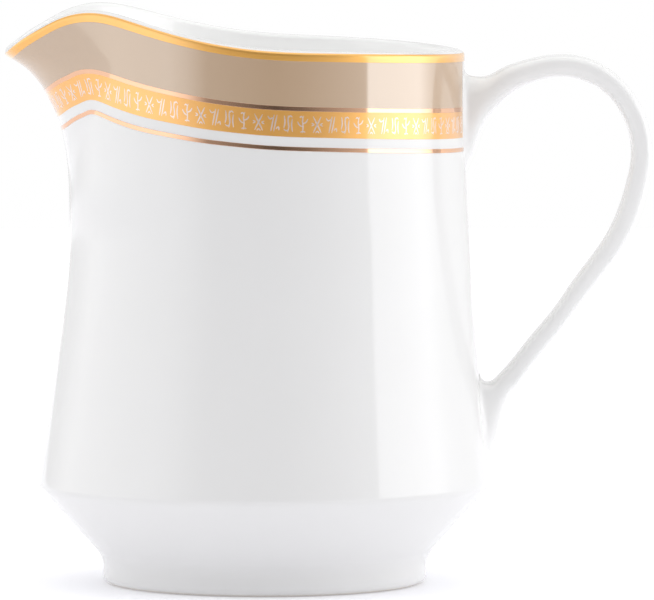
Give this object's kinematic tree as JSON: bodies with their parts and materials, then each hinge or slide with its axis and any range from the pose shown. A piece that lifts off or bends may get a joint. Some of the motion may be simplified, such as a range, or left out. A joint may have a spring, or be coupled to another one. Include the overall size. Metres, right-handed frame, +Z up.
{
  "type": "porcelain cream jug",
  "caption": "Small white porcelain cream jug with a strap handle, a beak spout, an inward-cut foot, and taupe and gold bands under the rim.",
  "frame": {"origin": "on the surface the jug stands on, midway between the tip of the spout and the back of the handle", "axes": "+Z up, spout towards -X, handle towards +X, mirror plane at Y = 0; the axis of the foot is at X = -11 mm"},
  "size_m": [0.1142, 0.0796, 0.1015],
  "materials": {
    "white_porcelain": "clear gloss glaze, bare ground foot ring",
    "handle_porcelain": "clear gloss glaze",
    "slip": "fired slip under the glaze",
    "rim_gold": "satin overglaze gold",
    "taupe_enamel": "gloss taupe enamel",
    "bright_gold": "mirror-bright overglaze gold",
    "matt_gold": "satin gold with an engraved ornament"
  },
  "bodies": {
    "root": {"jug_body": "white_porcelain", "handle": "handle_porcelain", "upper_slip_joint": "slip", "lower_slip_joint": "slip", "rim_gold_line": "rim_gold", "taupe_band": "taupe_enamel", "fine_gold_line": "bright_gold", "etched_gold_band": "matt_gold", "lower_gold_line": "bright_gold"}
  },
  "joints": []
}
